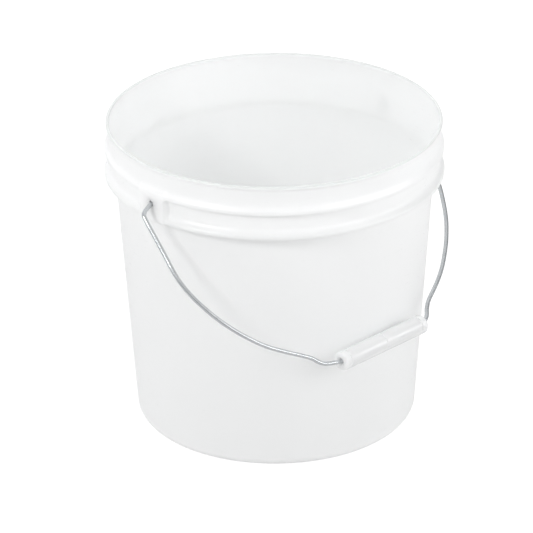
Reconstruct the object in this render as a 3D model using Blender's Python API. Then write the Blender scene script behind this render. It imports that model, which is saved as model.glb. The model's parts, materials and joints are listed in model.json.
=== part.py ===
"""A two-gallon white plastic fermenting bucket with a wire bail and a plastic roller grip.

Row frame, metres: the origin is under the middle of the base, in the plane the bucket stands on.
+Z is up, X runs from ear to ear along the bail's pivot axis, and the bail rests towards -Y.
"""

import math

import bmesh
import bpy

# Bucket: radii from its axis, heights from the plane it stands on.
LIP_RADIUS = 0.1240
HEIGHT = 0.2356
LIP_DEPTH = 0.0026
LIP_WIDTH = 0.0024
LIP_ROUNDING = 0.0009
NECK_RADIUS = 0.1229
WAIST_RADIUS = 0.1217
UPPER_RING_RADIUS = 0.1253
UPPER_RING_EDGE = 0.2138
LOWER_RING_RADIUS = 0.1257
LOWER_RING_EDGE = 0.1950
RING_LAND = 0.0026
FLARE_HEIGHT = 0.0105
WALL_TOP_RADIUS = 0.1179
WALL_BASE_RADIUS = 0.1044
WALL = 0.0019
HEEL_RADIUS = 0.0080
FOOT_WIDTH = 0.0050
PANEL_RECESS = 0.0015
FLOOR_THICKNESS = 0.0024
SHOULDER_BASE = 0.1935
SHOULDER_STEP = 0.0003
SHOULDER_HEIGHT = 0.0014
BUCKET_STEPS = 72

# Ears: blocks across both rings, hollow and open below, with a hole for the wire.
PIVOT_HEIGHT = 0.2080
EAR_HALF_ANGLE = math.radians(5.9)
EAR_FACE_RADIUS = 0.1264
EAR_ROOT_RADIUS = 0.1207
EAR_BASE = 0.1946
EAR_TOP = 0.2198
POCKET_DEPTH = (0.1221, 0.1244)
POCKET_HALF_WIDTH = 0.0105
POCKET_ROOF = 0.2146
EYE_RADIUS = 0.0024

# Bail: a bent wire in one plane. Each point is (x, reach), with reach measured from the pivot axis.
WIRE_RADIUS = 0.0016
REST_ANGLE = math.radians(43.2)
BAIL_REACH = 0.1637
STUB_TIP = 0.1228
LEFT_SIDE = (
    (-STUB_TIP, 0.0),
    (-0.1262, 0.0004),
    (-0.1300, 0.0018),
    (-0.1345, 0.0037),
    (-0.1372, 0.0062),
    (-0.1380, 0.0100),
    (-0.1390, 0.0220),
    (-0.1403, 0.0390),
    (-0.1416, 0.0555),
    (-0.1413, 0.0625),
    (-0.1390, 0.0745),
    (-0.1350, 0.0863),
    (-0.1294, 0.0985),
    (-0.1228, 0.1095),
    (-0.1148, 0.1200),
    (-0.1052, 0.1302),
    (-0.0940, 0.1389),
    (-0.0800, 0.1485),
    (-0.0745, 0.1528),
    (-0.0714, 0.1567),
    (-0.0680, 0.1595),
    (-0.0636, 0.1612),
    (-0.0590, 0.1623),
    (-0.0546, 0.1632),
    (-0.0505, BAIL_REACH),
    (-0.0465, BAIL_REACH),
)
RIGHT_SIDE = (
    (0.0290, BAIL_REACH),
    (0.0326, BAIL_REACH),
    (0.0352, 0.1633),
    (0.0378, 0.1623),
    (0.0402, 0.1607),
    (0.0422, 0.1586),
    (0.0440, 0.1562),
    (0.0464, 0.1537),
    (0.0500, 0.1507),
    (0.0598, 0.1450),
    (0.0700, 0.1388),
    (0.0794, 0.1320),
    (0.0878, 0.1246),
    (0.0958, 0.1167),
    (0.1029, 0.1084),
    (0.1092, 0.0998),
    (0.1165, 0.0864),
    (0.1222, 0.0730),
    (0.1268, 0.0570),
    (0.1300, 0.0340),
    (0.1315, 0.0100),
    (0.1309, 0.0052),
    (0.1291, 0.0024),
    (0.1266, 0.0006),
    (STUB_TIP, 0.0),
)
WIRE_STEPS = 4

# Grip: a roller that turns freely on the wire's straight run.
GRIP_RADIUS = 0.0072
GRIP_LENGTH = 0.0865
GRIP_CENTRE = -0.0104
GRIP_BORE = 0.0023
GRIP_MOUTH = 0.0034
GRIP_EDGE = 0.0018
COLLAR_LENGTH = 0.0060
GROOVE_WIDTH = 0.0012
GROOVE_DEPTH = 0.0007
GRIP_STEPS = 24

SMOOTH_ANGLE = math.radians(35)


def clear_scene():
    for item in list(bpy.data.objects):
        bpy.data.objects.remove(item, do_unlink=True)


def plain_material(name, colour, roughness, metallic=0.0):
    material = bpy.data.materials.new(name)
    material.use_nodes = True
    shader = material.node_tree.nodes["Principled BSDF"]
    shader.inputs["Base Color"].default_value = (*colour, 1.0)
    shader.inputs["Roughness"].default_value = roughness
    shader.inputs["Metallic"].default_value = metallic
    material.diffuse_color = (*colour, 1.0)
    return material


def link(item, material=None, parent=None):
    bpy.context.scene.collection.objects.link(item)
    if material:
        item.data.materials.append(material)
    item.parent = parent
    return item


def arc(centre, radius, start, end, steps):
    """Points on a round stretch of an outline, angles in degrees from the first axis."""
    points = []
    for step in range(steps + 1):
        angle = math.radians(start + (end - start) * step / steps)
        points.append((centre[0] + radius * math.cos(angle), centre[1] + radius * math.sin(angle)))
    return points


def spun_mesh(name, outline, axis, steps, angle=math.tau, start=0.0):
    """The closed body that a closed outline sweeps when it turns about the X or Z axis."""
    mesh = bmesh.new()
    verts = []
    for first, second in outline:
        across = (first * math.cos(start), first * math.sin(start), second)
        along = (second, -first, 0.0)
        verts.append(mesh.verts.new(across if axis == "Z" else along))
    edges = [mesh.edges.new((verts[i - 1], verts[i])) for i in range(len(verts))]
    turn = (0.0, 0.0, 1.0) if axis == "Z" else (1.0, 0.0, 0.0)
    whole = math.isclose(angle, math.tau)
    if not whole:
        mesh.faces.new(verts)
    swept = bmesh.ops.spin(mesh, geom=edges + verts, cent=(0, 0, 0), axis=turn, angle=angle, steps=steps)
    if not whole:
        mesh.faces.new([item for item in swept["geom_last"] if isinstance(item, bmesh.types.BMVert)])
    bmesh.ops.remove_doubles(mesh, verts=mesh.verts, dist=1e-6)
    bmesh.ops.dissolve_degenerate(mesh, edges=mesh.edges, dist=1e-7)
    bmesh.ops.recalc_face_normals(mesh, faces=mesh.faces)
    data = bpy.data.meshes.new(name)
    mesh.to_mesh(data)
    mesh.free()
    data.shade_smooth()
    data.set_sharp_from_angle(angle=SMOOTH_ANGLE)
    return bpy.data.objects.new(name, data)


def wall_radius(height):
    """Outer radius of the tapered wall below the rings."""
    return WALL_BASE_RADIUS + (WALL_TOP_RADIUS - WALL_BASE_RADIUS) * height / LOWER_RING_EDGE


def ring_outline(inner, outer, edge):
    """A reinforcing ring, top to bottom: a flare out of the wall, a short land, and a step back in."""
    land_top = edge + RING_LAND
    flare_top = edge + FLARE_HEIGHT
    depth = outer - inner
    return [
        (inner, flare_top),
        (inner + 0.10 * depth, land_top + 0.55 * (flare_top - land_top)),
        (inner + 0.38 * depth, land_top + 0.26 * (flare_top - land_top)),
        (inner + 0.78 * depth, land_top + 0.10 * (flare_top - land_top)),
        (outer, land_top - 0.0006),
        (outer, edge),
    ]


def bucket_outline():
    """The bucket's section, from the middle of the floor up the inside and down the outside."""
    floor = PANEL_RECESS + FLOOR_THICKNESS
    inner_heel = HEEL_RADIUS - WALL
    heel_centre = wall_radius(HEEL_RADIUS) - HEEL_RADIUS
    shoulder_inner = wall_radius(SHOULDER_BASE) - WALL
    lip_inner = LIP_RADIUS - LIP_WIDTH
    rounding = LIP_ROUNDING
    points = [(0.0, floor)]
    points += arc((heel_centre, floor + inner_heel), inner_heel, -90, -4, 4)
    points += [
        (shoulder_inner, SHOULDER_BASE),
        (shoulder_inner + SHOULDER_STEP, SHOULDER_BASE + SHOULDER_HEIGHT),
        (lip_inner - 0.0005, HEIGHT - 0.0060),
    ]
    points += arc((lip_inner + rounding, HEIGHT - rounding), rounding, 180, 90, 3)
    points += arc((LIP_RADIUS - rounding, HEIGHT - rounding), rounding, 90, 0, 3)
    points += [
        (LIP_RADIUS, HEIGHT - LIP_DEPTH),
        (NECK_RADIUS, HEIGHT - LIP_DEPTH - 0.0004),
    ]
    points += ring_outline(NECK_RADIUS, UPPER_RING_RADIUS, UPPER_RING_EDGE)
    points += [(WAIST_RADIUS, UPPER_RING_EDGE)]
    points += ring_outline(WAIST_RADIUS, LOWER_RING_RADIUS, LOWER_RING_EDGE)
    points += [(WALL_TOP_RADIUS, LOWER_RING_EDGE)]
    points += arc((heel_centre, HEEL_RADIUS), HEEL_RADIUS, -4, -90, 5)
    foot_inner = heel_centre - FOOT_WIDTH
    points += [
        (foot_inner, 0.0),
        (foot_inner - PANEL_RECESS, PANEL_RECESS),
        (0.0, PANEL_RECESS),
    ]
    return points


def make_helper(item, side):
    """A solid that only shapes the bucket, turned to its side of the pivot axis."""
    item.rotation_euler.z = 0.0 if side > 0 else math.pi
    item.hide_render = True
    item.display_type = "WIRE"
    return link(item)


def ear_block(side):
    outline = [
        (EAR_ROOT_RADIUS, EAR_BASE),
        (EAR_FACE_RADIUS, EAR_BASE),
        (EAR_FACE_RADIUS, EAR_TOP - 0.0056),
        (EAR_FACE_RADIUS - 0.0008, EAR_TOP - 0.0026),
        (EAR_FACE_RADIUS - 0.0026, EAR_TOP),
        (EAR_ROOT_RADIUS, EAR_TOP),
    ]
    name = "ear_block_left" if side < 0 else "ear_block_right"
    block = spun_mesh(name, outline, "Z", 6, 2 * EAR_HALF_ANGLE, -EAR_HALF_ANGLE)
    return make_helper(block, side)


def pocket_cutter(side):
    data = bpy.data.meshes.new("pocket_cutter")
    mesh = bmesh.new()
    bmesh.ops.create_cube(mesh, size=1.0)
    below = LOWER_RING_EDGE - 0.004
    size = (POCKET_DEPTH[1] - POCKET_DEPTH[0], 2 * POCKET_HALF_WIDTH, POCKET_ROOF - below)
    bmesh.ops.scale(mesh, vec=size, verts=mesh.verts)
    middle = (sum(POCKET_DEPTH) / 2, 0.0, (POCKET_ROOF + below) / 2)
    bmesh.ops.translate(mesh, vec=middle, verts=mesh.verts)
    mesh.to_mesh(data)
    mesh.free()
    name = "pocket_cutter_left" if side < 0 else "pocket_cutter_right"
    return make_helper(bpy.data.objects.new(name, data), side)


def eye_cutter(side):
    """The hole in the ear's face: a short round bar along the pivot axis."""
    inner = sum(POCKET_DEPTH) / 2
    outer = EAR_FACE_RADIUS + 0.002
    name = "eye_cutter_left" if side < 0 else "eye_cutter_right"
    outline = [(0.0, inner), (EYE_RADIUS, inner), (EYE_RADIUS, outer), (0.0, outer)]
    bar = spun_mesh(name, outline, "X", 16)
    bar.location.z = PIVOT_HEIGHT
    return make_helper(bar, side)


def shape_with(item, helper, operation):
    boolean = item.modifiers.new(helper.name, "BOOLEAN")
    boolean.object = helper
    boolean.operation = operation
    boolean.solver = "EXACT"


def make_bucket():
    material = plain_material("natural_white_plastic", (0.82, 0.84, 0.82), 0.35)
    bucket = link(spun_mesh("bucket", bucket_outline(), "Z", BUCKET_STEPS), material)
    for side in (-1, 1):
        shape_with(bucket, ear_block(side), "UNION")
    for side in (-1, 1):
        shape_with(bucket, pocket_cutter(side), "DIFFERENCE")
        shape_with(bucket, eye_cutter(side), "DIFFERENCE")
    return bucket


def make_bail_pivot():
    """The bail hangs from this empty: its X axis is the pivot axis, and -Y runs down the bail's plane."""
    pivot = link(bpy.data.objects.new("bail_pivot", None))
    pivot.location.z = PIVOT_HEIGHT
    pivot.rotation_euler.x = REST_ANGLE
    return pivot


def make_bail_wire(pivot):
    curve = bpy.data.curves.new("bail_wire", "CURVE")
    curve.dimensions = "3D"
    curve.bevel_depth = WIRE_RADIUS
    curve.bevel_resolution = 2
    curve.resolution_u = WIRE_STEPS
    curve.use_fill_caps = True
    spline = curve.splines.new("BEZIER")
    route = LEFT_SIDE + RIGHT_SIDE
    spline.bezier_points.add(len(route) - 1)
    for knot, (across, reach) in zip(spline.bezier_points, route):
        knot.co = (across, -reach, 0.0)
        knot.handle_left_type = "AUTO"
        knot.handle_right_type = "AUTO"
    material = plain_material("galvanised_wire", (0.55, 0.57, 0.58), 0.25, 1.0)
    return link(bpy.data.objects.new("bail_wire", curve), material, pivot)


def groove(position):
    """A shallow ring cut into the grip's barrel, as outline points along the barrel."""
    half = GROOVE_WIDTH / 2
    return [
        (GRIP_RADIUS, position - half),
        (GRIP_RADIUS - GROOVE_DEPTH, position - half * 0.4),
        (GRIP_RADIUS - GROOVE_DEPTH, position + half * 0.4),
        (GRIP_RADIUS, position + half),
    ]


def make_grip(pivot):
    end = GRIP_LENGTH / 2
    edge = GRIP_EDGE
    mouth = GRIP_MOUTH - GRIP_BORE
    points = [(GRIP_BORE, -end + mouth), (GRIP_MOUTH, -end)]
    points += [(r, x) for x, r in arc((-end + edge, GRIP_RADIUS - edge), edge, 180, 90, 3)]
    for position in (-end + COLLAR_LENGTH, 0.0, end - COLLAR_LENGTH):
        points += groove(position)
    points += [(r, x) for x, r in arc((end - edge, GRIP_RADIUS - edge), edge, 90, 0, 3)]
    points += [(GRIP_MOUTH, end), (GRIP_BORE, end - mouth)]
    material = plain_material("grip_white_plastic", (0.86, 0.86, 0.90), 0.3)
    grip = link(spun_mesh("grip", points, "X", GRIP_STEPS), material, pivot)
    grip.location = (GRIP_CENTRE, -BAIL_REACH, 0.0)
    return grip


def main():
    clear_scene()
    make_bucket()
    pivot = make_bail_pivot()
    make_bail_wire(pivot)
    make_grip(pivot)


main()
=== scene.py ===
"""An open white plastic fermenting bucket with a wire bail and a roller grip, on a pale studio floor.

Everything is in metres in the row frame: +Z up, X along the bail's pivot axis, the bail rests towards -Y.
"""

import json
import math

import bmesh
import bpy
from mathutils import Matrix, Vector


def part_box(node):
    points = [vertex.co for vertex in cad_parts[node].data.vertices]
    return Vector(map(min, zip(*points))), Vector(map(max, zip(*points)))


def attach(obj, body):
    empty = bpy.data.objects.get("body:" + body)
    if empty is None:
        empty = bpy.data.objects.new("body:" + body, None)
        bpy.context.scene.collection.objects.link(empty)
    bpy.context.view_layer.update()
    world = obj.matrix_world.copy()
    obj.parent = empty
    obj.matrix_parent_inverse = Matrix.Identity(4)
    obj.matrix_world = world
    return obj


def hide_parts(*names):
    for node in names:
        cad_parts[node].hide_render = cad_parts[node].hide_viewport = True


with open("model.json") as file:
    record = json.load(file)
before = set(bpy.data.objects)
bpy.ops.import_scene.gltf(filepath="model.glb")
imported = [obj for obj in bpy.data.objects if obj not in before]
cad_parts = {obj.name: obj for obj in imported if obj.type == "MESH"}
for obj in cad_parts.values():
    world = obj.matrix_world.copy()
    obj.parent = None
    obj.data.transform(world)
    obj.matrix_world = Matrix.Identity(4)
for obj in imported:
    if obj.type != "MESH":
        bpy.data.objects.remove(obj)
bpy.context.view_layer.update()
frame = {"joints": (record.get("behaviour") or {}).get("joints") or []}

# ---------------------------------------------------------------- sizes read from the frame
joints = {joint["name"]: joint for joint in frame["joints"]}
bucket_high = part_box("bucket")[1]
grip_low, grip_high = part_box("grip")
PIVOT_HEIGHT = joints["bail_hinge"]["pos_m"][2]
GRIP_AXIS = Vector(joints["grip_roll"]["pos_m"])
HEIGHT = bucket_high.z
LOWER_RING_RADIUS = bucket_high.y
EAR_FACE_RADIUS = bucket_high.x
GRIP_RADIUS = (grip_high.z - grip_low.z) / 2
GRIP_LENGTH = grip_high.x - grip_low.x
MIDDLE = Vector((0.0, 0.0, HEIGHT / 2))

SHARP_ANGLE = math.radians(35)
# The bucket's section starts and ends this far from the axis, where a small cap closes it.
AXIS_GAP = 0.0002

# ---------------------------------------------------------------- the bucket's section
LIP_RADIUS = 0.1240
LIP_DEPTH = 0.0026
LIP_WIDTH = 0.0024
LIP_ROUNDING = 0.0010
LIP_MOUTH_DROP = 0.0060
LIP_CORNER_DROP = 0.0022
LIP_UNDERCUT = 0.0005
NECK_RADIUS = 0.1229
WAIST_RADIUS = 0.1217
UPPER_RING_RADIUS = 0.1253
UPPER_RING_EDGE = 0.2138
LOWER_RING_EDGE = 0.1950
RING_LAND = 0.0026
RIM_WIDTH = 0.0015
RIM_GROOVE_RISE = 0.0030
RIM_GROOVE_CORNER = 0.0009
FLARE_HEIGHT = 0.0105
EDGE_ROUNDING = 0.0005
WALL_TOP_RADIUS = 0.1179
WALL_BASE_RADIUS = 0.1044
WALL = 0.0019
HEEL_RADIUS = 0.0080
FOOT_WIDTH = 0.0050
PANEL_RECESS = 0.0015
FLOOR_THICKNESS = 0.0024
SHOULDER_BASE = 0.1935
SHOULDER_STEP = 0.00015
SHOULDER_HEIGHT = 0.0020
MOUTH_BASE = 0.1880

# Ears: face blocks across the rings, each with an eye for the wire and a slot behind it for the wire's end.
EAR_HALF_ANGLE = math.radians(5.9)
EAR_EDGE_BLEND = math.radians(0.85)
EAR_BASE = 0.1946
EAR_TOP = 0.2198
POCKET_RADII = (0.1225, 0.1241)
POCKET_HALF_WIDTH = 0.0040
POCKET_ROOF = 0.2112
EYE_RADIUS = 0.0019

# ---------------------------------------------------------------- the bail
# Its route, as (x, reach from the pivot).
WIRE_RADIUS = 0.0016
BAIL_REACH = 0.1637
STUB_TIP = 0.1228
BAIL_ROUTE = (
    (-STUB_TIP, 0.0),
    (-0.1262, 0.0004),
    (-0.1300, 0.0018),
    (-0.1345, 0.0037),
    (-0.1372, 0.0062),
    (-0.1380, 0.0100),
    (-0.1390, 0.0220),
    (-0.1403, 0.0390),
    (-0.1416, 0.0555),
    (-0.1413, 0.0625),
    (-0.1390, 0.0745),
    (-0.1350, 0.0863),
    (-0.1294, 0.0985),
    (-0.1228, 0.1095),
    (-0.1148, 0.1200),
    (-0.1052, 0.1302),
    (-0.0940, 0.1389),
    (-0.0800, 0.1485),
    (-0.0745, 0.1528),
    (-0.0714, 0.1567),
    (-0.0680, 0.1595),
    (-0.0636, 0.1612),
    (-0.0590, 0.1623),
    (-0.0546, 0.1632),
    (-0.0505, BAIL_REACH),
    (-0.0465, BAIL_REACH),
    (0.0290, BAIL_REACH),
    (0.0326, BAIL_REACH),
    (0.0352, 0.1633),
    (0.0378, 0.1623),
    (0.0402, 0.1607),
    (0.0422, 0.1586),
    (0.0440, 0.1562),
    (0.0464, 0.1537),
    (0.0500, 0.1507),
    (0.0598, 0.1450),
    (0.0700, 0.1388),
    (0.0794, 0.1320),
    (0.0878, 0.1246),
    (0.0958, 0.1167),
    (0.1029, 0.1084),
    (0.1092, 0.0998),
    (0.1165, 0.0864),
    (0.1222, 0.0730),
    (0.1268, 0.0570),
    (0.1300, 0.0340),
    (0.1315, 0.0100),
    (0.1309, 0.0052),
    (0.1291, 0.0024),
    (0.1266, 0.0006),
    (STUB_TIP, 0.0),
)

# ---------------------------------------------------------------- the grip
GRIP_BORE = 0.0023
GRIP_MOUTH = 0.0034
GRIP_EDGE = 0.0018
COLLAR_LENGTH = 0.0060
GROOVE_WIDTH = 0.0012
GROOVE_DEPTH = 0.0006
GROOVE_GAP = 0.0006
SEAM_HEIGHT = 0.00012
SEAM_ANGLE = 0.09
BORE_SHOWN = 0.0020
GRIP_SIDES = 96

# ---------------------------------------------------------------- the materials
OUTSIDE_TINTS = ((0.926, 0.943, 0.933), (0.940, 0.955, 0.945))
# Painted light: the inside's tints are lighter than the outside's, for the light that gathers inside the
# open bucket.
INSIDE_PAINTED_LIGHT_TINTS = ((0.977, 0.987, 0.981), (0.983, 0.991, 0.986))
# Painted shade: a grey multiplied into the colour along the lip's top, standing for the thin grey line that
# light leaves on the rim. The height range below sets where it fades in.
LIP_PAINTED_SHADE = (0.72, 0.725, 0.72, 1.0)
LIP_PAINTED_SHADE_HEIGHT = (HEIGHT - 0.0014, HEIGHT - 0.0004)
GRIP_TINTS = ((0.900, 0.904, 0.922), (0.922, 0.925, 0.938))
ZINC_TINTS = ((0.57, 0.59, 0.605), (0.63, 0.65, 0.665))
BUCKET_ROUGHNESS = (0.26, 0.38)
GRIP_ROUGHNESS = (0.16, 0.24)
ZINC_ROUGHNESS = (0.22, 0.27)
BUCKET_CLOUDINESS = 0.0055
GRIP_CLOUDINESS = 0.016
# Where a noise texture's values mostly lie.
NOISE_RANGE = (0.3, 0.7)
# Between the inside's painted lighter tint and the outside's: metres from the axis times the normal's
# outward part.
AXIS_BLEND = (-0.02, 0.02)
# Sockets of a colour Mix node, which share their names with its number sockets.
COLOUR_A, COLOUR_B, COLOUR_RESULT = 6, 7, 2

# ---------------------------------------------------------------- the camera
CAMERA_AZIMUTH = -45.0
CAMERA_ELEVATION = 25.7
CAMERA_DISTANCE = 3.017
CAMERA_LENS = 272.3
CAMERA_ROLL = math.radians(-0.53)
AIM_LEFT = 0.0066
AIM_DOWN = 0.0034

# ---------------------------------------------------------------- the studio
# A white sweep behind the object and a darker room in front of it: their brightness.
ROOM = (1.34, 0.30)
# A black card at its right, placed by azimuth and elevation, and a dimmer ceiling. Each shade fades in
# between its two edges, where 1 is the middle of the shade and 0 is at right angles to it.
CARD_PLACE = (85, 5)
CARD_SHADE = 0.10
CARD_EDGE = (0.72, 0.92)
CEILING_SHADE = 0.80
CEILING_EDGE = (0.2, 0.9)
# A light table, dark inside this distance from the bucket's axis.
FLOOR_GLOW = 0.68
MAT_EDGE = (0.090, 0.104)
FLOOR_RADIUS = 6.0
FLOOR_DROP = 0.0002
# Lights: (name, azimuth, elevation, distance, size, watts).
LIGHTS = (
    ("key", -93, 38, 2.2, 0.5, 13.0),
    ("fill", 8, 30, 2.2, 1.2, 8.4),
    ("side", 40, 19, 2.2, 0.9, 7.0),
    ("front", -45, 44, 2.2, 2.0, 4.5),
    ("top", 0, 88, 2.0, 1.6, 2.0),
)


# ---------------------------------------------------------------- mesh helpers
def arc(centre, radius, start, end, steps):
    """Points on a round stretch of an outline, angles in degrees from the first axis."""
    points = []
    for step in range(steps + 1):
        angle = math.radians(start + (end - start) * step / steps)
        points.append((centre[0] + radius * math.cos(angle), centre[1] + radius * math.sin(angle)))
    return points


def straight(start, end, steps):
    """Evenly spaced points after start, up to end."""
    return [
        tuple(a + (b - a) * step / steps for a, b in zip(start, end))
        for step in range(1, steps + 1)
    ]


def smooth_step(value):
    """0 below 0, 1 above 1, and a smooth curve between."""
    value = min(max(value, 0.0), 1.0)
    return value * value * (3 - 2 * value)


def piece_from(mesh, name):
    """A smooth-shaded object whose edges stay sharp past SHARP_ANGLE."""
    bmesh.ops.recalc_face_normals(mesh, faces=mesh.faces)
    data = bpy.data.meshes.new(name)
    mesh.to_mesh(data)
    mesh.free()
    data.shade_smooth()
    data.set_sharp_from_angle(angle=SHARP_ANGLE)
    piece = bpy.data.objects.new(name, data)
    bpy.context.scene.collection.objects.link(piece)
    return piece


def skin(mesh, rows, closed_ring=False):
    """Skins loops of points, all of one length; the last joins the first, or both ends are capped."""
    loops = [[mesh.verts.new(point) for point in row] for row in rows]
    count = len(loops[0])
    following_loops = loops[1:] + loops[:1] if closed_ring else loops[1:]
    for this, following in zip(loops, following_loops):
        for i in range(count):
            j = (i + 1) % count
            mesh.faces.new((this[i], this[j], following[j], following[i]))
    if not closed_ring:
        mesh.faces.new(loops[0])
        mesh.faces.new(loops[-1])


# ---------------------------------------------------------------- bucket
def wall_radius(height):
    """The tapered wall's outer radius."""
    return WALL_BASE_RADIUS + (WALL_TOP_RADIUS - WALL_BASE_RADIUS) * height / LOWER_RING_EDGE


def heel_middle():
    """How far out the heel's rounding is centred."""
    return wall_radius(HEEL_RADIUS) - HEEL_RADIUS


def flare(inner, outer, edge, steps=14):
    """A ring's upper side: the wall sweeps outwards in an ogee to the ring's land."""
    top = edge + FLARE_HEIGHT
    bottom = edge + RING_LAND - 0.0006
    points = []
    for step in range(steps + 1):
        t = step / steps
        sweep = 0.5 - 0.5 * math.cos(math.pi * t * t)
        points.append((inner + (outer - inner) * sweep, top + (bottom - top) * t))
    return points


def edge_corner(outer, edge):
    """A ring's lower corner, rounded."""
    return arc((outer - EDGE_ROUNDING, edge + EDGE_ROUNDING), EDGE_ROUNDING, 0, -90, 4)


def ring_edge(outer, edge, root):
    """A ring's lower corner and its underside, back to the wall at root."""
    return edge_corner(outer, edge) + straight((outer - EDGE_ROUNDING, edge), (root, edge), 3)


def rise(low, high, steps):
    """Evenly spaced heights from low to high."""
    return [low + (high - low) * step / steps for step in range(steps + 1)]


def mouth_radius(height):
    """The inside above MOUTH_BASE: the taper opens smoothly towards the lip, past a faint shoulder."""
    top = HEIGHT - LIP_MOUTH_DROP
    lip_inner = LIP_RADIUS - LIP_WIDTH - LIP_UNDERCUT
    plain = wall_radius(height) - WALL
    gap = lip_inner - (wall_radius(top) - WALL) - SHOULDER_STEP
    t = (height - MOUTH_BASE) / (top - MOUTH_BASE)
    step = SHOULDER_STEP * smooth_step((height - SHOULDER_BASE) / SHOULDER_HEIGHT)
    return plain + gap * t * t * (1.6 - 0.6 * t) + step


def inner_section():
    """From the middle of the floor outwards and up the inside to the lip's top."""
    floor = PANEL_RECESS + FLOOR_THICKNESS
    middle = heel_middle()
    lip_inner = LIP_RADIUS - LIP_WIDTH
    points = [(AXIS_GAP, floor)]
    points += straight(points[-1], (middle - 0.001, floor), 8)
    points += arc((middle, floor + HEEL_RADIUS - WALL), HEEL_RADIUS - WALL, -90, -4, 10)
    points += straight(points[-1], (wall_radius(MOUTH_BASE) - WALL, MOUTH_BASE), 10)
    points += [(mouth_radius(z), z) for z in rise(MOUTH_BASE, HEIGHT - LIP_MOUTH_DROP, 44)[1:]]
    points += straight(points[-1], (lip_inner, HEIGHT - LIP_CORNER_DROP), 2)
    points += arc((lip_inner + LIP_ROUNDING, HEIGHT - LIP_ROUNDING), LIP_ROUNDING, 180, 90, 6)
    return points


def rim_groove():
    """Under the lower ring: a groove between the ring's rim and the wall."""
    rim = LOWER_RING_RADIUS - RIM_WIDTH
    wall = wall_radius(LOWER_RING_EDGE)
    corner = RIM_GROOVE_CORNER
    height = LOWER_RING_EDGE + RIM_GROOVE_RISE - corner
    points = [(rim + 0.0003, LOWER_RING_EDGE), (rim, LOWER_RING_EDGE + 0.0003)]
    points += arc((rim - corner, height), corner, 0, 90, 4)
    points += arc((wall + corner, height), corner, 90, 180, 4)
    return points + [(wall, LOWER_RING_EDGE)]


def ear_rows(count):
    """The ear's own outline, as many points as the rows of wall that it stands in front of."""
    face = EAR_FACE_RADIUS
    outline = [
        (face - 0.0026, EAR_TOP),
        (face - 0.0016, EAR_TOP - 0.0011),
        (face - 0.0006, EAR_TOP - 0.0032),
        (face, EAR_TOP - 0.0058),
        (face, EAR_BASE + 0.0005),
        (face - 0.0004, EAR_BASE),
    ]
    lengths = [math.dist(a, b) for a, b in zip(outline, outline[1:])]
    points = []
    for row in range(count):
        travel = sum(lengths) * row / (count - 1)
        index = 0
        while index < len(lengths) - 1 and travel > lengths[index]:
            travel -= lengths[index]
            index += 1
        t = min(travel / lengths[index], 1.0)
        a, b = outline[index], outline[index + 1]
        points.append((a[0] + (b[0] - a[0]) * t, a[1] + (b[1] - a[1]) * t))
    return points


def outer_section():
    """From the lip's top down the outside: (plain wall, wall at an ear) for each row."""
    lip = arc((LIP_RADIUS - LIP_ROUNDING, HEIGHT - LIP_ROUNDING), LIP_ROUNDING, 90, 0, 6)
    lip += arc((LIP_RADIUS - 0.0005, HEIGHT - LIP_DEPTH + 0.0005), 0.0005, 0, -90, 4)
    lip += [(NECK_RADIUS + 0.0003, HEIGHT - LIP_DEPTH - 0.0001), (NECK_RADIUS, HEIGHT - LIP_DEPTH - 0.0005)]
    lip += straight(lip[-1], (NECK_RADIUS, UPPER_RING_EDGE + FLARE_HEIGHT + 0.0006), 3)
    plain = flare(NECK_RADIUS, UPPER_RING_RADIUS, UPPER_RING_EDGE)
    first_ear_row = next(i for i, (_, z) in enumerate(plain) if z < EAR_TOP + 0.0005)
    lip += plain[:first_ear_row]
    behind = plain[first_ear_row:]
    behind += ring_edge(UPPER_RING_RADIUS, UPPER_RING_EDGE, WAIST_RADIUS)
    behind += straight(behind[-1], (WAIST_RADIUS, LOWER_RING_EDGE + FLARE_HEIGHT + 0.0004), 4)
    behind += flare(WAIST_RADIUS, LOWER_RING_RADIUS, LOWER_RING_EDGE)
    behind += edge_corner(LOWER_RING_RADIUS, LOWER_RING_EDGE)
    rows = [(point, point) for point in lip]
    rows += list(zip(behind, ear_rows(len(behind))))
    below = straight(behind[-1], rim_groove()[0], 2)[:-1] + rim_groove()
    heel = arc((heel_middle(), HEEL_RADIUS), HEEL_RADIUS, -4, -90, 14)
    below += straight(below[-1], heel[0], 24)[:-1] + heel
    foot_inner = heel_middle() - FOOT_WIDTH
    below += straight(below[-1], (foot_inner, 0.0), 2)
    below += straight(below[-1], (foot_inner - PANEL_RECESS, PANEL_RECESS), 3)
    below += straight(below[-1], (AXIS_GAP, PANEL_RECESS), 8)
    return rows + [(point, point) for point in below]


def ear_share(angle):
    """1 across an ear's face, 0 on the plain wall, with a steep smooth side between."""
    from_axis = min(angle % math.pi, math.pi - angle % math.pi)
    return 1 - smooth_step((from_axis - EAR_HALF_ANGLE + EAR_EDGE_BLEND) / (2 * EAR_EDGE_BLEND))


def bucket_angles():
    """Angles round the bucket, evenly spaced and then closer together at the sides of the ears."""
    coarse, fine = math.radians(1.25), math.radians(0.11)
    edges = [side + sign * EAR_HALF_ANGLE for side in (0, math.pi, math.tau) for sign in (-1, 1)]
    angles, angle = [], 0.0
    while angle < math.tau - coarse / 4:
        angles.append(angle)
        near = min(abs(angle + coarse / 2 - edge) for edge in edges)
        angle += fine if near < EAR_EDGE_BLEND + coarse / 2 else coarse
    return angles


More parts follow.
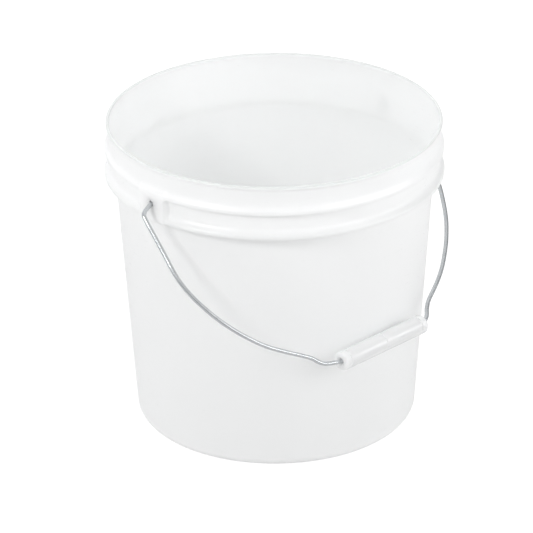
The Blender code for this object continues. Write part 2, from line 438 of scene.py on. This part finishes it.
def make_bucket_shell():
    """The section turned round the axis, pushed out to the ears' faces where they stand, then drilled."""
    rows = [(point, point) for point in inner_section()] + outer_section()
    angles = bucket_angles()
    shares = [ear_share(angle) for angle in angles]
    mesh = bmesh.new()
    loops = []
    for plain, ear in rows:
        loop = []
        for angle, share in zip(angles, shares):
            radius = plain[0] + (ear[0] - plain[0]) * share
            height = plain[1] + (ear[1] - plain[1]) * share
            loop.append((radius * math.cos(angle), radius * math.sin(angle), height))
        loops.append(loop)
    skin(mesh, loops)
    shell = piece_from(mesh, "bucket_shell")
    for side in (-1, 1):
        cut(shell, pocket_tool(side))
        cut(shell, eye_tool(side))
    settle(shell)
    return shell


def pocket_tool(side):
    """The slot behind an ear's face, open below, with rounded upright corners."""
    mesh = bmesh.new()
    bmesh.ops.create_cube(mesh, size=1.0)
    below = LOWER_RING_EDGE - 0.004
    size = (POCKET_RADII[1] - POCKET_RADII[0], 2 * POCKET_HALF_WIDTH, POCKET_ROOF - below)
    bmesh.ops.scale(mesh, vec=size, verts=mesh.verts)
    middle = (side * sum(POCKET_RADII) / 2, 0.0, (POCKET_ROOF + below) / 2)
    bmesh.ops.translate(mesh, vec=middle, verts=mesh.verts)
    upright = [edge for edge in mesh.edges if abs(edge.verts[0].co.z - edge.verts[1].co.z) > 0.001]
    bmesh.ops.bevel(mesh, geom=upright, offset=0.0006, segments=3, profile=0.5, affect="EDGES")
    return piece_from(mesh, f"pocket_tool_{'left' if side < 0 else 'right'}")


def eye_tool(side):
    """A round bar along the pivot axis that widens at the ear's face, which chamfers the eye's rim."""
    steps = 40
    stations = (
        (sum(POCKET_RADII) / 2, EYE_RADIUS),
        (EAR_FACE_RADIUS - 0.0011, EYE_RADIUS),
        (EAR_FACE_RADIUS - 0.0005, EYE_RADIUS + 0.0002),
        (EAR_FACE_RADIUS + 0.0001, EYE_RADIUS + 0.0007),
        (EAR_FACE_RADIUS + 0.0020, EYE_RADIUS + 0.0007),
    )
    mesh = bmesh.new()
    loops = []
    for across, radius in stations:
        loop = []
        for step in range(steps):
            angle = math.tau * step / steps
            loop.append((side * across, radius * math.cos(angle), PIVOT_HEIGHT + radius * math.sin(angle)))
        loops.append(loop)
    skin(mesh, loops)
    return piece_from(mesh, f"eye_tool_{'left' if side < 0 else 'right'}")


def cut(piece, tool):
    """Takes the tool's shape out of the piece, once settle has applied it."""
    boolean = piece.modifiers.new(tool.name, "BOOLEAN")
    boolean.object = tool
    boolean.operation = "DIFFERENCE"
    boolean.solver = "EXACT"


def settle(piece):
    """Applies the piece's modifiers and removes the tools that they used."""
    tools = [modifier.object for modifier in piece.modifiers]
    graph = bpy.context.evaluated_depsgraph_get()
    data = bpy.data.meshes.new_from_object(piece.evaluated_get(graph))
    piece.modifiers.clear()
    piece.data = data
    data.shade_smooth()
    data.set_sharp_from_angle(angle=SHARP_ANGLE)
    for tool in tools:
        bpy.data.objects.remove(tool, do_unlink=True)


# ---------------------------------------------------------------- bail and grip
def make_bail():
    """The wire as one smooth bent rod through its route."""
    curve = bpy.data.curves.new("bail", "CURVE")
    curve.dimensions = "3D"
    curve.bevel_depth = WIRE_RADIUS
    curve.bevel_resolution = 6
    curve.resolution_u = 12
    curve.use_fill_caps = True
    spline = curve.splines.new("BEZIER")
    spline.bezier_points.add(len(BAIL_ROUTE) - 1)
    down = Vector((0.0, GRIP_AXIS.y, GRIP_AXIS.z - PIVOT_HEIGHT)) / BAIL_REACH
    pivot = Vector((0.0, 0.0, PIVOT_HEIGHT))
    for knot, (across, reach) in zip(spline.bezier_points, BAIL_ROUTE):
        knot.co = pivot + Vector((across, 0.0, 0.0)) + down * reach
        knot.handle_left_type = "AUTO"
        knot.handle_right_type = "AUTO"
    bail = bpy.data.objects.new("bail", curve)
    bpy.context.scene.collection.objects.link(bail)
    return bail


def groove(position):
    """A shallow round-bottomed ring cut into the barrel, as (along, radius)."""
    points = []
    for step in range(9):
        t = step / 8
        dip = math.sin(math.pi * t) ** 1.5
        points.append((position + GROOVE_WIDTH * (t - 0.5), GRIP_RADIUS - GROOVE_DEPTH * dip))
    return points


def grip_section():
    """The grip's closed outline as (along, radius), from one mouth over the barrel to the other."""
    end = GRIP_LENGTH / 2
    collar = end - COLLAR_LENGTH
    mouth = GRIP_MOUTH - GRIP_BORE
    points = [(-end + mouth + BORE_SHOWN, GRIP_BORE), (-end + mouth, GRIP_BORE)]
    points += straight(points[-1], (-end, GRIP_MOUTH), 3)
    points += arc((-end + GRIP_EDGE, GRIP_RADIUS - GRIP_EDGE), GRIP_EDGE, 180, 90, 8)
    points += groove(-collar)
    points += straight(points[-1], (-GROOVE_WIDTH / 2 - GROOVE_GAP, GRIP_RADIUS), 6)
    points += groove(0.0)
    points += straight(points[-1], (collar - GROOVE_WIDTH / 2 - GROOVE_GAP, GRIP_RADIUS), 6)
    points += groove(collar)
    points += arc((end - GRIP_EDGE, GRIP_RADIUS - GRIP_EDGE), GRIP_EDGE, 90, 0, 8)
    points += straight(points[-1], (end - mouth, GRIP_BORE), 3)
    return points + [(end - mouth - BORE_SHOWN, GRIP_BORE)]


def make_grip():
    """The roller, with its two mould seams along the barrel."""
    mesh = bmesh.new()
    rows = []
    for along, radius in grip_section():
        outside = smooth_step((radius - GRIP_RADIUS * 0.8) / (GRIP_RADIUS * 0.2))
        row = []
        for step in range(GRIP_SIDES):
            angle = math.tau * step / GRIP_SIDES
            from_seam = min(angle % math.pi, math.pi - angle % math.pi)
            seam = SEAM_HEIGHT * outside * max(0.0, 1 - from_seam / SEAM_ANGLE)
            reach = radius + seam - SEAM_HEIGHT * outside
            row.append(GRIP_AXIS + Vector((along, reach * math.cos(angle), reach * math.sin(angle))))
        rows.append(row)
    skin(mesh, rows, closed_ring=True)
    return piece_from(mesh, "roller_grip")


# ---------------------------------------------------------------- materials
def new_material(name):
    """A fresh material, its node tree and its shader."""
    material = bpy.data.materials.new(name)
    material.use_nodes = True
    return material, material.node_tree, material.node_tree.nodes["Principled BSDF"]


def node(tree, kind, **settings):
    """A new node with these properties."""
    made = tree.nodes.new(kind)
    for key, value in settings.items():
        setattr(made, key, value)
    return made


def coordinates(tree, scale=(1, 1, 1)):
    """Places on the piece, in its own axes, each stretched by its scale."""
    source = node(tree, "ShaderNodeTexCoord")
    mapping = node(tree, "ShaderNodeMapping")
    mapping.inputs["Scale"].default_value = scale
    tree.links.new(source.outputs["Object"], mapping.inputs["Vector"])
    return mapping.outputs["Vector"]


def noise(tree, vector, scale, detail, roughness=0.5):
    """A noise texture's value at these places."""
    made = node(tree, "ShaderNodeTexNoise")
    made.inputs["Scale"].default_value = scale
    made.inputs["Detail"].default_value = detail
    made.inputs["Roughness"].default_value = roughness
    tree.links.new(vector, made.inputs["Vector"])
    return made.outputs["Fac"]


def remap(tree, value, target, source=NOISE_RANGE):
    """A value moved from the source range to the target range, and held inside it."""
    made = node(tree, "ShaderNodeMapRange")
    for key, number in zip(("From Min", "From Max", "To Min", "To Max"), (*source, *target)):
        made.inputs[key].default_value = number
    tree.links.new(value, made.inputs["Value"])
    return made.outputs["Result"]


def two_colours(tree, value, tints):
    """A colour between two tints, by a noise texture's value."""
    ramp = node(tree, "ShaderNodeValToRGB")
    for stop, position, tint in zip(ramp.color_ramp.elements, NOISE_RANGE, tints):
        stop.position = position
        stop.color = (*tint, 1.0)
    tree.links.new(value, ramp.inputs["Fac"])
    return ramp.outputs["Color"]


def bump(tree, height, distance, strength, before=None):
    """The surface's normal tilted by a height, on top of the bump before it."""
    made = node(tree, "ShaderNodeBump")
    made.inputs["Strength"].default_value = strength
    made.inputs["Distance"].default_value = distance
    tree.links.new(height, made.inputs["Height"])
    if before:
        tree.links.new(before, made.inputs["Normal"])
    return made.outputs["Normal"]


# Used as the mask for the inside's painted light.
def faces_axis(tree):
    """1 where the surface faces the bucket's axis, 0 where it faces away, halfway where it lies flat."""
    surface = node(tree, "ShaderNodeNewGeometry")
    level = node(tree, "ShaderNodeVectorMath", operation="MULTIPLY")
    tree.links.new(surface.outputs["Position"], level.inputs[0])
    level.inputs[1].default_value = (1.0, 1.0, 0.0)
    outward = node(tree, "ShaderNodeVectorMath", operation="DOT_PRODUCT")
    tree.links.new(level.outputs["Vector"], outward.inputs[0])
    tree.links.new(surface.outputs["Normal"], outward.inputs[1])
    return remap(tree, outward.outputs["Value"], (1.0, 0.0), AXIS_BLEND)


def make_cloudy(shader, depth):
    """Translucent right through: light wanders this far, in metres, inside the plastic."""
    shader.inputs["IOR"].default_value = 1.5
    shader.inputs["Subsurface Weight"].default_value = 1.0
    shader.inputs["Subsurface Radius"].default_value = (1.0, 1.0, 1.0)
    shader.inputs["Subsurface Scale"].default_value = depth


def lip_painted_shade_mask(tree, place):
    """1 along the top of the lip, where a painted shade greys the plastic, and 0 below it."""
    split = node(tree, "ShaderNodeSeparateXYZ")
    tree.links.new(place, split.inputs[0])
    return remap(tree, split.outputs["Z"], (0.0, 1.0), LIP_PAINTED_SHADE_HEIGHT)


def bucket_plastic():
    """Natural white polyethylene: satin, a little cloudy and translucent, with fine handling scuffs."""
    material, tree, shader = new_material("natural_white_plastic_detail")
    place = coordinates(tree)
    cloud = noise(tree, place, scale=14.0, detail=3.0)
    outside = two_colours(tree, cloud, OUTSIDE_TINTS)
    # Painted light: the inside is given lighter tints than the outside.
    inside = two_colours(tree, cloud, INSIDE_PAINTED_LIGHT_TINTS)
    tint = node(tree, "ShaderNodeMix", data_type="RGBA")
    tree.links.new(faces_axis(tree), tint.inputs["Factor"])
    tree.links.new(outside, tint.inputs[COLOUR_A])
    tree.links.new(inside, tint.inputs[COLOUR_B])
    # Painted shade: the lip's top is multiplied towards grey.
    painted_lip_shade = node(tree, "ShaderNodeMix", data_type="RGBA", blend_type="MULTIPLY")
    painted_lip_shade.inputs[COLOUR_B].default_value = LIP_PAINTED_SHADE
    tree.links.new(lip_painted_shade_mask(tree, place), painted_lip_shade.inputs["Factor"])
    tree.links.new(tint.outputs[COLOUR_RESULT], painted_lip_shade.inputs[COLOUR_A])
    tree.links.new(painted_lip_shade.outputs[COLOUR_RESULT], shader.inputs["Base Color"])
    scuffs = noise(tree, coordinates(tree, (1, 1, 9)), scale=160.0, detail=5.0, roughness=0.7)
    tree.links.new(remap(tree, scuffs, BUCKET_ROUGHNESS), shader.inputs["Roughness"])
    make_cloudy(shader, BUCKET_CLOUDINESS)
    peel = bump(tree, noise(tree, place, scale=420.0, detail=2.0), distance=0.00003, strength=0.5)
    ripple = noise(tree, place, scale=28.0, detail=2.0)
    waves = bump(tree, ripple, distance=0.0004, strength=0.25, before=peel)
    tree.links.new(waves, shader.inputs["Normal"])
    return material


def grip_plastic():
    """The grip's glossier, slightly bluish plastic."""
    material, tree, shader = new_material("grip_white_plastic_detail")
    place = coordinates(tree)
    tint = two_colours(tree, noise(tree, place, scale=60.0, detail=3.0), GRIP_TINTS)
    tree.links.new(tint, shader.inputs["Base Color"])
    scuffs = noise(tree, coordinates(tree, (1, 6, 6)), scale=220.0, detail=5.0, roughness=0.7)
    tree.links.new(remap(tree, scuffs, GRIP_ROUGHNESS), shader.inputs["Roughness"])
    make_cloudy(shader, GRIP_CLOUDINESS)
    peel = bump(tree, noise(tree, place, scale=600.0, detail=2.0), distance=0.00002, strength=0.5)
    tree.links.new(peel, shader.inputs["Normal"])
    return material


def zinc_wire():
    """Bright zinc plating over drawn steel, duller in patches."""
    material, tree, shader = new_material("galvanised_wire_detail")
    place = coordinates(tree)
    patches = noise(tree, place, scale=160.0, detail=3.0)
    tint = two_colours(tree, patches, ZINC_TINTS)
    tree.links.new(tint, shader.inputs["Base Color"])
    shader.inputs["Metallic"].default_value = 1.0
    smears = noise(tree, place, scale=300.0, detail=3.0)
    tree.links.new(remap(tree, smears, ZINC_ROUGHNESS), shader.inputs["Roughness"])
    pits = bump(tree, noise(tree, place, scale=1400.0, detail=2.0), distance=0.000003, strength=0.4)
    tree.links.new(pits, shader.inputs["Normal"])
    return material


# ---------------------------------------------------------------- studio
def seen_as_white(tree, strength):
    """A brightness that is this strength for the light it gives off, and 1 where it is looked at."""
    path = node(tree, "ShaderNodeLightPath")
    mix = node(tree, "ShaderNodeMix", data_type="FLOAT")
    mix.inputs["B"].default_value = 1.0
    tree.links.new(strength, mix.inputs["A"])
    tree.links.new(path.outputs["Is Camera Ray"], mix.inputs["Factor"])
    return mix.outputs["Result"]


def make_floor():
    """A pale light table, dark where the bucket stands on it."""
    mesh = bmesh.new()
    bmesh.ops.create_circle(mesh, cap_ends=True, segments=96, radius=FLOOR_RADIUS)
    floor = piece_from(mesh, "studio_floor")
    floor.location.z = -FLOOR_DROP
    material, tree, shader = new_material("studio_floor")
    shader.inputs["Base Color"].default_value = (0.08, 0.08, 0.08, 1.0)
    shader.inputs["Roughness"].default_value = 0.9
    shader.inputs["Emission Color"].default_value = (1.0, 1.0, 1.0, 1.0)
    reach = node(tree, "ShaderNodeVectorMath", operation="LENGTH")
    tree.links.new(coordinates(tree), reach.inputs[0])
    glow = remap(tree, reach.outputs["Value"], (0.0, FLOOR_GLOW), MAT_EDGE)
    tree.links.new(seen_as_white(tree, glow), shader.inputs["Emission Strength"])
    floor.data.materials.append(material)


def area_light(name, place, size, watts):
    """A round light of this size that the camera doesn't see."""
    data = bpy.data.lights.new(name, "AREA")
    data.shape = "DISK"
    data.size = size
    data.energy = watts
    lamp = bpy.data.objects.new(name, data)
    bpy.context.scene.collection.objects.link(lamp)
    lamp.location = place
    lamp.visible_camera = False
    lamp.rotation_euler = (MIDDLE - place).to_track_quat("-Z", "Y").to_euler()


def direction(azimuth, elevation):
    """Unit vector from the object towards a place at these degrees, azimuth 0 at -Y and 90 at +X."""
    a, e = math.radians(azimuth), math.radians(elevation)
    return Vector((math.sin(a) * math.cos(e), -math.cos(a) * math.cos(e), math.sin(e)))


def facing(tree, place, azimuth, elevation):
    """How nearly a place in the room lies in this direction: 1 there, 0 at right angles, -1 opposite."""
    product = node(tree, "ShaderNodeVectorMath", operation="DOT_PRODUCT")
    tree.links.new(place.outputs["Generated"], product.inputs[0])
    product.inputs[1].default_value = direction(azimuth, elevation)
    return product.outputs["Value"]


def times(tree, first, second):
    """The product of two values."""
    product = node(tree, "ShaderNodeMath", operation="MULTIPLY")
    tree.links.new(first, product.inputs[0])
    tree.links.new(second, product.inputs[1])
    return product.outputs["Value"]


def make_world():
    """A room with its white sweep behind the object; looked at, it is white paper."""
    world = bpy.data.worlds.new("studio")
    world.use_nodes = True
    tree = world.node_tree
    place = node(tree, "ShaderNodeTexCoord")
    sweep = remap(tree, facing(tree, place, CAMERA_AZIMUTH, 0), ROOM, (-1.0, 1.0))
    card = remap(tree, facing(tree, place, *CARD_PLACE), (1.0, CARD_SHADE), CARD_EDGE)
    ceiling = remap(tree, facing(tree, place, 0, 90), (1.0, CEILING_SHADE), CEILING_EDGE)
    strength = times(tree, times(tree, sweep, card), ceiling)
    background = tree.nodes["Background"]
    background.inputs["Color"].default_value = (0.98, 0.99, 1.0, 1.0)
    tree.links.new(seen_as_white(tree, strength), background.inputs["Strength"])
    bpy.context.scene.world = world


def make_lights():
    """Soft round lights, all aimed at the middle of the bucket."""
    for name, azimuth, elevation, distance, size, watts in LIGHTS:
        area_light(name, direction(azimuth, elevation) * distance, size, watts)


def make_camera():
    """A long lens, turned a little about its own line of sight."""
    data = bpy.data.cameras.new("camera")
    data.lens = CAMERA_LENS
    data.sensor_width = 36.0
    data.clip_start = 0.05
    data.clip_end = 40.0
    camera = bpy.data.objects.new("camera", data)
    bpy.context.scene.collection.objects.link(camera)
    back = direction(CAMERA_AZIMUTH, CAMERA_ELEVATION)
    camera.location = MIDDLE + back * CAMERA_DISTANCE
    right = Vector((0.0, 0.0, 1.0)).cross(back).normalized()
    up = back.cross(right)
    aim = MIDDLE - right * AIM_LEFT - up * AIM_DOWN
    turn = (aim - camera.location).to_track_quat("-Z", "Y").to_matrix().to_4x4()
    camera.rotation_euler = (turn @ Matrix.Rotation(CAMERA_ROLL, 4, "Z")).to_euler()
    bpy.context.scene.camera = camera


def dress(piece, material, body, cad_node):
    """Gives a piece its material and slot, and puts it on its body in the CAD node's place."""
    piece.data.materials.clear()
    piece.data.materials.append(material)
    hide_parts(cad_node)
    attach(piece, body)


make_camera()
make_world()
make_lights()
make_floor()
bpy.context.scene.view_settings.view_transform = "Standard"
bpy.context.scene.cycles.diffuse_bounces = 5
dress(make_bucket_shell(), bucket_plastic(), "bucket_body", "bucket")
dress(make_bail(), zinc_wire(), "bail", "bail_wire")
dress(make_grip(), grip_plastic(), "grip_roller", "grip")
